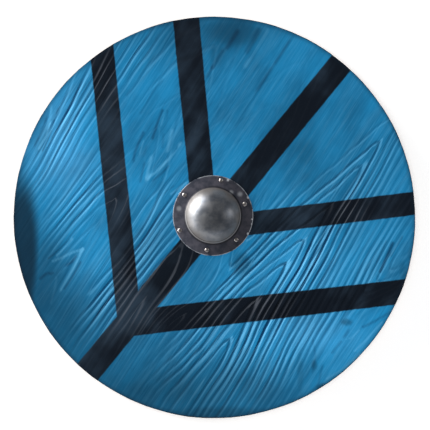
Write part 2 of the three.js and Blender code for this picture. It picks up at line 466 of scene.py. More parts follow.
def copy_of(part, name):
    """A copy of a CAD part with its own mesh, its loose triangles merged."""
    copied = part.copy()
    copied.data = part.data.copy()
    copied.name = name
    bpy.context.scene.collection.objects.link(copied)
    copied.parent = None
    pick(copied)

    def merge_loose():
        bpy.ops.mesh.select_all(action="SELECT")
        bpy.ops.mesh.remove_doubles(threshold=LOOSE_GAP)

    in_edit_mode(merge_loose)
    return copied


def apply_modifier(piece, kind, settings):
    """Adds a modifier to a piece and applies it at once."""
    pick(piece)
    added = piece.modifiers.new(kind.lower(), kind)
    for key, value in settings.items():
        setattr(added, key, value)
    bpy.ops.object.modifier_apply(modifier=added.name)


def remove(piece):
    bpy.data.objects.remove(piece, do_unlink=True)


def triangles(piece):
    piece.data.calc_loop_triangles()
    return len(piece.data.loop_triangles)


deselect_all()
bpy.ops.mesh.primitive_grid_add(
    x_subdivisions=round(SHEET_SIZE / ALONG_CELL), y_subdivisions=round(SHEET_SIZE / ACROSS_CELL),
    size=SHEET_SIZE, location=(*GRAIN_MIDDLE, SHEET_HEIGHT), rotation=(0, 0, GRAIN_ANGLE),
)
board = bpy.context.object
board.name = "painted_board"
bpy.ops.object.transform_apply(location=True, rotation=True, scale=True)


def make_slab():
    """The sheet's border drops straight down and is closed by one face."""
    bpy.ops.mesh.select_all(action="SELECT")
    bpy.ops.mesh.region_to_loop()
    bpy.ops.mesh.extrude_region_move(TRANSFORM_OT_translate={"value": (0, 0, -SLAB_DEPTH)})
    bpy.ops.mesh.edge_face_add()
    bpy.ops.mesh.select_all(action="SELECT")
    bpy.ops.mesh.normals_make_consistent(inside=False)


in_edit_mode(make_slab)
cad_board = copy_of(nodes["shield_board"], "board_outline")
apply_modifier(board, "BOOLEAN", {"operation": "INTERSECT", "solver": "MANIFOLD", "object": cad_board})
remove(cad_board)
print("board after the cut:", triangles(board), "triangles")

# %% Sink the grooves
BOARD_RADIUS = 432 * MM
RIM_START = 429 * MM
SAW_WANDER = 1.3 * MM
GROOVE_DEPTH = 0.62 * MM
BRUSH_DEPTH = 0.08 * MM
FRONT_TOLERANCE = 0.01 * MM
# How far a groove reaches to each side of its ring, and how far off its pale line lies on the lit side, a
# painted highlight, in mm
GROOVE_REACH = 3.6
LIT_OFFSET = 4.4
GROOVE_SHARPNESS = 1.2
# Ring numbers a millimetre: the least that is reckoned with, and where a ridge changes sides
SLOWEST_RATE = 0.03
SIDE_CHANGE_RATE = 0.02


def read_points(piece):
    flat = np.empty(len(piece.data.vertices) * 3)
    piece.data.vertices.foreach_get("co", flat)
    return flat.reshape(-1, 3)


def write_points(piece, points):
    piece.data.vertices.foreach_set("co", points.ravel())
    piece.data.update()


def store(piece, name, values):
    """Keeps one number a vertex, for the material to read."""
    made = piece.data.attributes.new(name, "FLOAT", "POINT")
    made.data.foreach_set("value", np.asarray(values, np.float32))


points = read_points(board)
board_u, board_v = to_grain(points[:, 0], points[:, 1])
rings = ring_number(board_u, board_v)
along_rate, across_rate = ring_rates(board_u, board_v)
ring_rate = np.clip(np.hypot(along_rate, across_rate), SLOWEST_RATE, None)
shows = grain_strength(board_u, board_v)
off_line = np.abs(rings - np.round(rings)) / ring_rate
groove = np.clip(1 - off_line / GROOVE_REACH, 0, 1) ** GROOVE_SHARPNESS
brushed = np.sin(board_v * 2.3 + np.sin(board_u / 21) * 2) * 0.5 + 0.5
on_front = points[:, 2] > SHEET_HEIGHT - FRONT_TOLERANCE
points[:, 2] -= on_front * (GROOVE_DEPTH * groove * shows + BRUSH_DEPTH * brushed)
turn = np.arctan2(points[:, 1], points[:, 0])
saw = 0.5 + 0.22 * np.sin(9 * turn + 1) + 0.16 * np.sin(23 * turn) + 0.12 * np.sin(61 * turn + 2)
near_rim = np.hypot(points[:, 0], points[:, 1]) > RIM_START
points[:, :2] *= (1 - near_rim * SAW_WANDER / BOARD_RADIUS * saw)[:, None]
write_points(board, points)
store(board, "ring", rings)
store(board, "ring_rate", ring_rate)
# How far the painted highlight beside each groove lies towards the groove's lit side
store(board, "lit_shift", LIT_OFFSET * ring_rate * np.tanh(across_rate / SIDE_CHANGE_RATE))
store(board, "grain_shows", shows)
print("deepest groove:", round(float((groove * shows)[on_front].max()) * GROOVE_DEPTH / MM, 2), "mm")

# %% [markdown]
# ## Smudges
#
# Old dirt and thin paint darken the board in soft places, most of all along the left of the rim.
# Painting them needs only a place and a size each, in millimetres from the board's middle, so they
# are named here and kept as one more number a vertex, which the material breaks up with noise.

# %% Smudges
SMUDGES = {
    "left rim": ((-416, -72), (42, 170), 1.0),
    "left rim, lower": ((-384, -125), (72, 120), 0.46),
    "left rim, upper": ((-372, 190), (22, 70), 0.35),
    "top": ((44, 398), (68, 36), 0.52),
    "top, by the band": ((6, 352), (22, 34), 0.34),
    "top rim": ((190, 398), (70, 16), 0.3),
    "below the boss": ((58, -100), (26, 30), 0.5),
    "under the long band": ((196, 140), (26, 34), 0.3),
    "lower left": ((-300, -300), (90, 70), 0.26),
    "bottom rim": ((20, -424), (150, 20), 0.5),
    "right rim": ((405, -118), (10, 28), 0.42),
    "lower right rim": ((234, -366), (18, 11), 0.6),
    "speck": ((283, -225), (15, 9), 0.52),
    "second speck": ((214, -317), (8, 14), 0.5),
    "lower streak": ((184, -334), (9, 52), 0.35),
}


def squared_distance(x, y, middle, reach):
    """How far a place is from a spot's middle, squared, with 1 at its reach along x or y."""
    return ((x / MM - middle[0]) / reach[0]) ** 2 + ((y / MM - middle[1]) / reach[1]) ** 2


def smudge_amount(x, y):
    """The strongest smudge at each place, with a flat middle and a quick fade."""
    dirt = np.zeros_like(x)
    for middle, reach, amount in SMUDGES.values():
        dirt = np.maximum(dirt, amount * np.exp(-(squared_distance(x, y, middle, reach) ** 2)))
    return dirt


store(board, "smudge", smudge_amount(points[:, 0], points[:, 1]))
print("smudges:", len(SMUDGES))

# %% [markdown]
# ## Painted light and shade, and strokes
#
# Painted glows and painted shades, each over a hand's width, brighten and darken the blue across the
# board as light would fall on it, and in the figured patch between two of the bands there are short
# dark and pale strokes. The painted glows and shades are places and sizes in millimetres from the
# board's middle, and strokes are chains of points in UNITs, with a width and an amount.

# %% Painted light and shade, and strokes
# Painted glows above 0 and painted shades below it: a place and a size in mm, and an amount
PAINTED_GLOWS_AND_SHADES = {
    "upper left glow": ((-325, 160), (105, 170), 0.55),
    "top shade": ((-30, 410), (170, 70), -0.75),
    "upper right shade": ((160, 200), (110, 110), -0.35),
    "right shade": ((330, 60), (110, 110), -0.1),
    "lower right glow": ((230, -255), (150, 70), 0.42),
    "glow beside the boss": ((190, -104), (140, 60), 0.3),
    "left of the boss": ((-110, 20), (60, 60), 0.15),
    "lower left shade": ((-330, -245), (100, 115), -0.95),
    "glow in the lower left": ((-262, -125), (55, 75), 0.3),
    "bottom shade": ((-100, -380), (215, 72), -1.3),
    "shade under the right band": ((-150, -270), (60, 50), -0.3),
    "cloud beside the long band": ((198, 132), (34, 62), -0.28),
    "shade by the left smudge": ((-352, -60), (42, 80), -0.26),
    "shade left of the first band": ((-266, 194), (46, 52), -0.18),
    "shade right of the boss": ((150, 80), (70, 50), -0.1),
}
# Dark strokes below 0 and pale ones above: a chain of points, a width and an amount
STROKES = (
    (((176, -95), (158, -105), (148, -110)), 2.0, -0.6),
    (((134, -113), (126, -125), (118, -135)), 2.2, -0.55),
    (((98, -121), (101, -138), (98, -155)), 2.0, -0.45),
    (((188, -98), (158, -141), (134, -165)), 1.8, -0.6),
    (((146, -112), (136, -121), (128, -122)), 1.4, 0.4),
    (((108, -148), (104, -166), (94, -178)), 2.2, -0.5),
    (((168, -104), (152, -122), (140, -134)), 1.5, 0.5),
    (((146, -136), (128, -152), (112, -162)), 1.6, 0.45),
    (((84, 190), (41, 124), (21, 90)), 1.8, -0.35), (((53, 187), (42, 169), (31, 151)), 3.2, 0.45),
    (((23, 186), (18, 178), (13, 170)), 3.4, -0.75), (((44, 187), (39, 176), (33, 166)), 4.6, -0.6),
    (((8, 166), (3, 158), (-1, 151)), 3.2, -0.6), (((-2, 150), (-5, 145), (-8, 140)), 2.2, -0.5),
    (((74, 176), (68, 166), (61, 155)), 4.0, -0.3), (((54, 148), (49, 139), (43, 130)), 4.4, -0.3),
    (((-40, 190), (-62, 150), (-88, 122)), 1.7, -0.4), (((-62, 178), (-80, 152), (-94, 128)), 1.5, -0.35),
    (((100, 96), (84, 70), (66, 48)), 3.0, -0.3), (((20, 160), (8, 128), (2, 96)), 2.2, -0.25),
    (((-52, 137), (-62, 125), (-68, 113), (-74, 104)), 2.7, -0.42),
    (((-52, 107), (-56, 97), (-59, 88), (-62, 79)), 2.1, -0.72), (((-50, 103), (-54, 92)), 1.8, 0.45),
    (((-71, 85), (-76, 74), (-80, 64), (-81, 56)), 2.2, -0.62), (((-38, 99), (-40, 91)), 2.4, -0.3),
    (((-71, 77), (-73, 70), (-75, 63)), 1.6, 0.45), (((-68, 71), (-71, 62)), 2.4, -0.35),
    (((-70, 54), (-72, 45), (-74, 36)), 2.1, -0.6), (((-63, 60), (-66, 49), (-68, 39)), 2.8, 0.5),
    (((-34, 74), (-46, 58), (-59, 45), (-67, 39)), 2.0, 0.62), (((-60, 53), (-62, 47)), 2.0, -0.4),
    (((-46, 51), (-54, 43), (-62, 37)), 1.8, -0.6), (((-38, 70), (-47, 61)), 1.7, -0.5),
    (((-42, 87), (-45, 76), (-47, 66)), 2.6, 0.5), (((-51, 83), (-52, 70)), 2.5, -0.42),
    (((-28, 35), (-44, 23)), 1.4, 0.6), (((-40, 32), (-54, 22)), 1.4, -0.5),
    (((-47, 107), (-48, 100)), 2.0, -0.45),
    (((-164, 95), (-168, 82), (-176, 68)), 1.4, 0.8), (((-160, 97), (-166, 80), (-172, 67)), 1.3, -0.8),
    (((-168, 100), (-170, 96)), 2.0, -0.5), (((-176, 80), (-180, 71)), 1.7, -0.5),
    (((-156, 110), (-158, 104)), 1.6, -0.5),
    (((-162, -44), (-152, -40), (-142, -35), (-132, -32)), 1.7, 0.6),
    (((-132, -32), (-136, -40), (-140, -50), (-146, -60), (-154, -73)), 1.6, 0.7),
    (((-138, -39), (-142, -44), (-148, -48)), 1.8, -0.8),
    (((-134, -45), (-142, -59), (-150, -71)), 1.4, -0.8),
    (((-158, -38), (-148, -28), (-142, -21)), 1.5, 0.7),
    (((-166, -41), (-154, -31), (-146, -23)), 1.4, -0.7),
    (((-174, -61), (-168, -56), (-162, -56)), 2.1, -0.7),
    (((-158, -60), (-160, -73), (-164, -86)), 2.0, 0.35), (((178, -26), (166, -54)), 2.2, -0.9),
    (((188, -19), (176, -39)), 1.8, -0.6), (((172, -23), (162, -45)), 1.6, -0.5),
)
# Where the black is thin, and where its ridges have been rubbed pale
THIN_PLACES = {
    "up from the fork": ((-212, 60), (60, 330), 0.5),
    "fork": ((-186, -205), (75, 65), 0.85),
    "right from the boss": ((230, 5), (200, 40), 0.2),
    "up from the boss": ((-48, 250), (40, 200), 0.5),
}
RUBBED_PLACES = {
    "up from the fork, top": ((-235, 291), (26, 50), 0.7),
    "up from the fork, middle": ((-211, 59), (26, 46), 0.6),
    "up from the fork, foot": ((-194, -145), (30, 50), 0.4),
    "fork": ((-180, -205), (50, 40), 0.4),
    "long, below the boss": ((-105, -115), (60, 60), 0.4),
    "right from the fork, start": ((-5, -203), (50, 40), 0.45),
    "right from the fork, middle": ((102, -182), (48, 40), 0.7),
    "right from the boss": ((285, 10), (30, 35), 0.7),
}


def spots_amount(spots, x, y):
    """The sum of soft spots, each with a middle, a reach along x and y, and an amount."""
    total = np.zeros_like(x)
    for middle, reach, amount in spots.values():
        total = total + amount * np.exp(-squared_distance(x, y, middle, reach))
    return total


def stroke_amount(x, y):
    """The sum of the strokes, each fading to its sides."""
    total = np.zeros_like(x)
    for chain, width, amount in STROKES:
        nearest = np.full_like(x, np.inf)
        for start, end in zip(chain, chain[1:]):
            run = np.array(end, float) - np.array(start, float)
            from_x = x / UNIT - start[0]
            from_y = y / UNIT - start[1]
            held = np.clip((from_x * run[0] + from_y * run[1]) / (run @ run), 0, 1)
            nearest = np.minimum(nearest, np.hypot(from_x - held * run[0], from_y - held * run[1]))
        total = total + amount * np.exp(-((nearest / width) ** 2))
    return total


RUBBED_EVERYWHERE = 0.015
board_x = points[:, 0]
board_y = points[:, 1]
# Painted light and shade: a painted glow of 1 doubles the blue's brightness and a painted shade of -1
# halves it
store(board, "tone", 2 ** spots_amount(PAINTED_GLOWS_AND_SHADES, board_x, board_y))
store(board, "thin", spots_amount(THIN_PLACES, board_x, board_y))
store(board, "rubbed", RUBBED_EVERYWHERE + spots_amount(RUBBED_PLACES, board_x, board_y))
store(board, "stroke", stroke_amount(board_x, board_y))
print("tones:", len(PAINTED_GLOWS_AND_SHADES), "strokes:", len(STROKES))

# %% [markdown]
# ## Paint
#
# The blue was brushed on thin and lies darker in the grooves, partly as painted groove shade, and a
# pale line on each groove's lit side is a painted highlight, partly paint rubbed off the hard ridges.
# The bands are black over it and show the same grain, rubbed grey in places, the grey lines also
# placed on each groove's lit side as a painted highlight. All of it is one material on the board: the
# bands are distances from named lines, and the back and the edge are bare wood.

# %% Bands
# Where the middle line starts and its slant, half the width, how much that grows along the line, and
# whether the band also runs the other way. Places and widths are in mm, slants in degrees
BANDS = {
    "long": ((-19.6, -24.0), 50.63, 27.1, -0.0026, True),
    "up from the boss": ((-18.7, -23.2), 95.4, 26.5, 0.0043, False),
    "right from the boss": ((-20.6, -24.8), 6.98, 25.0, 0.0, False),
    "up from the fork": ((-182.8, -223.7), 95.8, 25.9, 0.0, False),
    "right from the fork": ((-184.2, -227.6), 6.62, 28.3, -0.0034, False),
}
BAND_EDGE = 1.6 * MM
MOTTLE_WOBBLE = 2.2 * MM
FIBRE_WOBBLE = 1.4 * MM

paint = Bench("painted_plywood")
point = paint.place()
x, y, z = paint.split(point)
grain_place = (*turned(x, y, GRAIN_ANGLE), z)
fibre = paint.fibres(grain_place, (7, 170, 40), 3.0, 0.62)
fine_fibre = paint.fibres(grain_place, (22, 520, 80), 2.0, 0.6)
streak = paint.fibres(grain_place, (2.2, 36, 20), 3.0, 0.55)
mottle = paint.noise(point, 9, 3, 0.55)

wobble = paint.noise(point, 55, 2) * MOTTLE_WOBBLE + fine_fibre * FIBRE_WOBBLE
black = None
for (start_x, start_y), degrees, half_width, widening, both_ways in BANDS.values():
    far, aside = turned(x - start_x * MM, y - start_y * MM, math.radians(degrees))
    outside = abs(aside) - far * widening - half_width * MM
    if not both_ways:
        outside = paint.most(outside, -far)
    black = outside if black is None else paint.least(black, outside)
band = 1 - paint.rise(black + wobble, -BAND_EDGE, BAND_EDGE)
print("bands:", len(BANDS))

# %% Grain lines
ring = paint.attribute("ring")
ring_rate = paint.attribute("ring_rate")
shown = paint.attribute("grain_shows")
ragged = fibre * 2.2 + fine_fibre * 1.6
nearest = paint.sum("ROUND", ring)
off = abs((ring - nearest) / ring_rate + ragged)
lit_ring = ring + paint.attribute("lit_shift")
lit_off = abs((lit_ring - paint.sum("ROUND", lit_ring)) / ring_rate + ragged)
ring_kind = paint.node("ShaderNodeTexWhiteNoise", {"W": nearest}, {"noise_dimensions": "1D"})
broken = paint.rise(streak + fibre * 0.5, -0.36, 0.12, 0.35, 1.0)
line_share = shown * (0.6 + ring_kind * 0.5) * broken
# Dark grooves, partly painted groove shade, and a pale line on each groove's lit side, a painted highlight
groove_mark = 1 - paint.rise(off, 1.0, 4.0)
lit_ridge_mark = 1 - paint.rise(lit_off, 0.6, 3.2)
groove_line = groove_mark * line_share
lit_ridge_line = lit_ridge_mark * line_share
comb = paint.fibres(grain_place, (6, 300, 60), 1.5, 0.5)
print("grain lines ready")

# %% Blue paint
BLUE = paint_colour(29, 136, 190)
DULL_BLUE = paint_colour(23, 106, 150)
PALE_BLUE = paint_colour(110, 197, 244)
DEEP_BLUE = paint_colour(2, 50, 88)
# The paler blue of the brightest painted glow
PAINTED_GLOW_PALE = paint_colour(196, 206, 210)

# Clouds of two blues, with pale and dark fibres
cloudy = paint.rise(mottle + streak * 0.6, -0.3, 0.3)
blue = paint.mix(cloudy, DULL_BLUE, BLUE)
blue = paint.mix(paint.rise(fibre + fine_fibre * 0.5, -0.1, 0.36) * 0.18, blue, PALE_BLUE)
blue = paint.mix(paint.rise(fibre + fine_fibre * 0.6, -0.05, -0.4) * 0.3, blue, DEEP_BLUE)
# Paler where the painted glow is brightest, and the strokes of the figured wood
painted_light_and_shade = paint.attribute("tone")
blue = paint.mix(paint.rise(painted_light_and_shade, 1.05, 1.7) * 0.06, blue, PAINTED_GLOW_PALE)
stroke = paint.attribute("stroke") + fibre * 0.25
blue = paint.mix(paint.rise(stroke, 0.08, 0.9) * 0.54, blue, PALE_BLUE)
blue = paint.mix(paint.rise(stroke, -0.1, -1.0) * 0.75, blue, DEEP_BLUE)
# Pale lines on each groove's lit side, a painted highlight partly from paint rubbed off the ridges,
# dark grooves, partly painted groove shade, and the fine comb between them
blue = paint.mix(paint.least(lit_ridge_line * 1.15, 0.95), blue, PALE_BLUE)
blue = paint.mix(paint.least(groove_line * 1.4, 0.96), blue, DEEP_BLUE)
blue = paint.mix(paint.rise(comb, 0.02, 0.26) * shown * 0.5, blue, PALE_BLUE)
blue = paint.mix(paint.rise(comb, -0.02, -0.26) * shown * 0.6, blue, DEEP_BLUE)
# Painted light and shade: the blue brightened and darkened across the board
blue = paint.scale(blue, painted_light_and_shade)
print("blue paint ready")

# %% Black paint and dirt
BLACK = paint_colour(12, 20, 30)
THIN_BLACK = paint_colour(40, 55, 70)
RUBBED_AND_LIT_BLACK = paint_colour(100, 106, 116)
GROOVE_BLACK = paint_colour(4, 7, 12)
DIRT = paint_colour(10, 28, 42)
RIM_BLACK = paint_colour(22, 20, 24)
RIM_FRAY = 4 * MM

thin = paint.attribute("thin")
ink = paint.mix(paint.rise(mottle + streak * 0.8 + thin * 0.5, 0.0, 0.5), BLACK, THIN_BLACK)
# Grey rubbed lines in the black, worn and placed on each groove's lit side as a painted highlight
rubbed_and_lit_line = (1 - paint.rise(lit_off, 0.4, 2.2)) * broken * paint.attribute("rubbed")
ink = paint.mix(rubbed_and_lit_line, ink, RUBBED_AND_LIT_BLACK)
# Darker black in the grooves, partly painted groove shade
ink = paint.mix(groove_line * 0.8, ink, GROOVE_BLACK)
front = paint.mix(band, blue, ink)
smudged = paint.attribute("smudge")
dirty = paint.rise(smudged + mottle * 0.26 + streak * 0.12 + fibre * 0.14, 0.06, 0.95)
front = paint.mix(dirty * 0.9, front, DIRT)
radius = paint.distance(x, y)
rim_dirt = paint.rise(radius + fibre * RIM_FRAY, BOARD_RADIUS - 12 * MM, BOARD_RADIUS + 2 * MM)
front = paint.mix(rim_dirt * 0.6, front, DIRT)
rim_edge = paint.rise(radius, BOARD_RADIUS - 2.5 * MM, BOARD_RADIUS - 0.8 * MM)
front = paint.mix(rim_edge * 0.85, front, RIM_BLACK)
print("black paint and dirt ready")

# %% Bare wood, and the whole board
BARE_WOOD = paint_colour(150, 112, 72)
BARE_WOOD_DARK = paint_colour(104, 74, 46)
CUT_EDGE = paint_colour(74, 58, 46)
GLUE_LINE = paint_colour(34, 27, 24)
BOARD_BACK = 24 * MM
VENEER = 2 * MM


def smooth(piece, degrees):
    """Shades a piece smooth, with its edges sharp where they bend more than the angle."""
    pick(piece)
    bpy.ops.object.shade_smooth_by_angle(angle=math.radians(degrees))


wood = paint.mix(paint.rise(fibre + streak * 0.5, -0.35, 0.35), BARE_WOOD_DARK, BARE_WOOD)
veneer = paint.sum("FRACT", (z - BOARD_BACK) / VENEER)
glue = 1 - paint.rise(abs(veneer - 0.5), 0.02, 0.14)
cut_face = paint.mix(glue, paint.mix(0.5 + fibre, CUT_EDGE, BARE_WOOD_DARK), GLUE_LINE)
on_side = paint.rise(radius, BOARD_RADIUS - 1.0 * MM, BOARD_RADIUS - 0.4 * MM)
wood = paint.mix(on_side, wood, cut_face)
on_top = paint.rise(z, BOARD_FRONT - 2.4 * MM, BOARD_FRONT - 1.2 * MM)
colour = paint.mix(on_top, wood, front)

roughness = 0.5 + fibre * 0.18 + groove_line * on_top * 0.2
height = fibre * 0.3 + fine_fibre * 0.3 - groove_line * on_top
wear(board, paint.finish(
    Base_Color=colour,
    Roughness=roughness,
    Normal=paint.bump(height, 1.2 * MM, 0.8),
    Specular_IOR_Level=0.12,
))
smooth(board, 35)
FLAT_BACK = -0.999
for face in board.data.polygons:
    if face.normal.z < FLAT_BACK:
        face.use_smooth = False
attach(board, "root")
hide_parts("shield_board")
print("board dressed")

# %% [markdown]
# ## The boss
#
# The boss is pressed from one sheet: a flat flange, a tight fillet and a dome that is part of a ball,
# hollow behind. A round pressing is best turned: its wall is drawn once as a chain of points, half a
# section through the steel, and spun about the boss's own axis. Close rings and smooth shading keep
# the reflections on the dome clean.

# %% Spin the boss
# All in mm but the lean of the dome's foot, in degrees
BOSS_MIDDLE = (-3.2, 3.9)
STEEL = 2.0
FLANGE_RADIUS = 86.3
FILLET_RADIUS = 4.0
DOME_FOOT_RADIUS = 60.5
DOME_LEAN = 62
LOWER_EDGE = 0.5
UPPER_EDGE = 0.7
SPIN_STEPS = 128


def arc_points(centre, reach, first, last, steps):
    """Points on part of an ellipse, angles in degrees."""
    angles = [math.radians(first + (last - first) * i / steps) for i in range(steps + 1)]
    return [(centre[0] + reach[0] * math.cos(t), centre[1] + reach[1] * math.sin(t)) for t in angles]


def spin_form(name, profile, middle, base, steps):
    """Extrudes one point along a profile (mm from the axis, mm above the base) and spins it."""
    deselect_all()
    start = (middle[0] * MM + profile[0][0] * MM, middle[1] * MM, base + profile[0][1] * MM)
    bpy.ops.mesh.primitive_plane_add(size=1 * MM, location=start)
    form = bpy.context.object
    form.name = name
    bpy.ops.object.transform_apply(location=True, rotation=True, scale=True)

    def draw_and_spin():
        bpy.ops.mesh.select_all(action="SELECT")
        bpy.ops.mesh.merge(type="CENTER")
        for (r0, z0), (r1, z1) in zip(profile, profile[1:]):
            shift = ((r1 - r0) * MM, 0, (z1 - z0) * MM)
            bpy.ops.mesh.extrude_region_move(TRANSFORM_OT_translate={"value": shift})
        bpy.ops.mesh.select_all(action="SELECT")
        bpy.ops.mesh.spin(
            steps=steps, angle=math.tau, axis=(0, 0, 1), center=(middle[0] * MM, middle[1] * MM, 0),
        )
        bpy.ops.mesh.select_all(action="SELECT")
        bpy.ops.mesh.remove_doubles(threshold=0.02 * MM)
        bpy.ops.mesh.normals_make_consistent(inside=False)

    in_edit_mode(draw_and_spin)
    return form


lean = math.radians(DOME_LEAN)
ball = DOME_FOOT_RADIUS / math.sin(lean)
fillet_height = STEEL + FILLET_RADIUS
ball_height = fillet_height - (FILLET_RADIUS + ball) * math.cos(lean)
fillet_ring = DOME_FOOT_RADIUS + FILLET_RADIUS * math.sin(lean)
back_fillet = FILLET_RADIUS + STEEL
dome_start = 90 - DOME_LEAN
fillet_end = 270 - DOME_LEAN
boss_profile = [
    *arc_points((0, ball_height), (ball - STEEL, ball - STEEL), 90, dome_start, 22),
    *arc_points((fillet_ring, fillet_height), (back_fillet, back_fillet), fillet_end, 270, 6)[1:],
    (FLANGE_RADIUS - LOWER_EDGE, 0.0),
    *arc_points((FLANGE_RADIUS - LOWER_EDGE, LOWER_EDGE + 0.1), (LOWER_EDGE, LOWER_EDGE), -60, 0, 2),
    *arc_points((FLANGE_RADIUS - UPPER_EDGE, STEEL - UPPER_EDGE), (UPPER_EDGE, UPPER_EDGE), 0, 90, 4),
    *arc_points((fillet_ring, fillet_height), (FILLET_RADIUS, FILLET_RADIUS), 270, fillet_end, 8),
    *arc_points((0, ball_height), (ball, ball), dome_start, 90, 26)[1:],
]
boss = spin_form("steel_boss", boss_profile, BOSS_MIDDLE, BOARD_FRONT, SPIN_STEPS)
smooth(boss, 40)
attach(boss, "root")
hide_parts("boss")
print("boss:", triangles(boss), "triangles")

# %% [markdown]
# ## Rivets
#
# The six rivets are alike but for the length that they hold together: two of them also go through
# the grip. A rivet is turned too, with a round head on the flange, a shank and a hammered tail. It
# is spun once, and each copy has its own mesh, so that its tail can be moved down to where it sits.

# %% Turn a rivet and copy it
# Where it stands round the boss, in degrees, how far it has drifted off the flange's middle, from -1
# at the fillet to 1 at the rim, and the length that it holds together, in mm
RIVET_PLACES = (
    (20, -0.45, 10), (77, 0.4, 10), (144, 0.1, 31), (204, 0.45, 10), (260, -0.05, 10), (314, -0.58, 31),
)
HEAD_RADIUS = 5.0
HEAD_HEIGHT = 3.4
HEAD_EDGE = 0.3
HEAD_UNDERCUT = 0.25
TAIL_RADIUS = 4.4
TAIL_DEPTH = 1.8
SHANK_RADIUS = 2.5
PLAIN_HOLD = 10
RIVET_STEPS = 28
FLANGE_TOP = BOARD_FRONT + STEEL * MM
rivet_ring = (fillet_ring + FLANGE_RADIUS) / 2
rivet_drift = (FLANGE_RADIUS - fillet_ring) / 2 - HEAD_RADIUS
tail_place = -STEEL - PLAIN_HOLD
rivet_profile = [
    *arc_points((0, tail_place), (TAIL_RADIUS, TAIL_DEPTH), -90, 0, 6),
    (SHANK_RADIUS, tail_place),
    (SHANK_RADIUS, 0.0),
    (HEAD_RADIUS - HEAD_UNDERCUT, 0.0),
    *arc_points((0, HEAD_EDGE), (HEAD_RADIUS, HEAD_HEIGHT - HEAD_EDGE), 0, 90, 9),
]
pattern_rivet = spin_form("rivet_pattern", rivet_profile, (0, 0), 0, RIVET_STEPS)
smooth(pattern_rivet, 50)
rivets = []
for number, (degrees, drift, hold) in enumerate(RIVET_PLACES, 1):
    rivet = pattern_rivet.copy()
    rivet.data = pattern_rivet.data.copy()
    rivet.name = f"domed_rivet_{number}"
    bpy.context.scene.collection.objects.link(rivet)
    reach = rivet_ring + drift * rivet_drift
    turn = math.radians(degrees)
    spots = read_points(rivet)
    spots[:, 2] -= (spots[:, 2] < -STEEL * MM) * (hold - PLAIN_HOLD) * MM
    spots[:, 0] += (BOSS_MIDDLE[0] + reach * math.cos(turn)) * MM
    spots[:, 1] += (BOSS_MIDDLE[1] + reach * math.sin(turn)) * MM
    spots[:, 2] += FLANGE_TOP
    write_points(rivet, spots)
    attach(rivet, "root")
    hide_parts(f"boss_rivet_{number}")
    rivets.append(rivet)
remove(pattern_rivet)
print("rivets:", len(rivets), "of", triangles(rivets[0]), "triangles")

# %% [markdown]
# ## Steel
#
# The dome has been polished and the flange left dark from the forge. The dark finish runs up the
# fillet to the dome's foot, where it ends in a thin ring with a painted highlight on its lower side,
# between painted shade in the fillet's crease and painted shade at the foot of the dome. The dome's
# outer band is tinted warm and less metallic as a painted reflection, and painted shade darkens it
# towards the right. So one material reads the distance from the boss's axis and changes with it.
# Scuffs and nicks are soft spots with a place and a size, and so are painted glints on the flange's
# rim and pale spots on the dome, the one near its middle a painted reflection; a broken pale line
# round the rim is a painted glint too. Fine noise in the roughness and a very shallow bump give the
# hammered, handled look.

# %% Steel finishes
# Pale scuffs on the flange, painted glints on its rim and pale spots on the dome, the one near its
# middle a painted reflection: how far right of and above the boss's middle, and the reach, all in mm,
# and how pale
SCUFFS_AND_GLINTS = (
    (-73, 15, 8, 0.45), (58, 46, 8, 0.4), (39, 50, 7, 0.35), (32, 76.5, 4.5, 1.0),
    (84, -8, 3.5, 1.0), (83.5, -18, 3.0, 0.9), (75, -39, 3.5, 1.0), (75.5, 39, 4.0, 0.8),
    (-4, -5, 6, 0.3), (-19, 2, 7, 0.2), (12, 14, 6, 0.15),
)
# Rings about the boss's axis, for painted shade at the dome's foot, a painted highlight beside it and
# painted shade in the fillet's crease: where each fades in and where it fades out, in mm
FOOT_RING = ((55.6, 56.4), (57.0, 57.8))
HIGHLIGHT_RING = ((57.8, 58.4), (58.9, 59.6))
CREASE_RING = ((59.8, 60.4), (62.5, 64.5))
DOME_DULL = paint_colour(128, 133, 142)
DOME_BRIGHT = paint_colour(168, 170, 174)
DOME_EDGE_REFLECTION = paint_colour(170, 160, 150)
FOOT_SHADE = paint_colour(60, 60, 64)
FLANGE_DARK = paint_colour(56, 60, 71)
FLANGE_GREY = paint_colour(88, 87, 97)
RIM_GLINT = paint_colour(196, 202, 210)
SCUFF_AND_GLINT_PALE = paint_colour(214, 218, 224)
RING_HIGHLIGHT = paint_colour(206, 208, 212)
CREASE_SHADE = paint_colour(26, 28, 32)

steel = Bench("boss_steel")
point = steel.place()
x, y, _ = steel.split(point)
boss_x = x - BOSS_MIDDLE[0] * MM
boss_y = y - BOSS_MIDDLE[1] * MM
boss_radius = steel.distance(boss_x, boss_y)
cloud = steel.noise(point, 60, 4, 0.6)
speckle = steel.noise(point, 420, 2, 0.6)
dents = steel.noise(point, 34, 2, 0.5)


def ring_mark(fades_in, fades_out):
    """1 on a ring about the boss's axis and 0 beside it."""
    inner = steel.rise(boss_radius, fades_in[0] * MM, fades_in[1] * MM)
    return inner * (1 - steel.rise(boss_radius, fades_out[0] * MM, fades_out[1] * MM))


flange_share = steel.rise(boss_radius + cloud * MM, 59.4 * MM, 60.4 * MM)
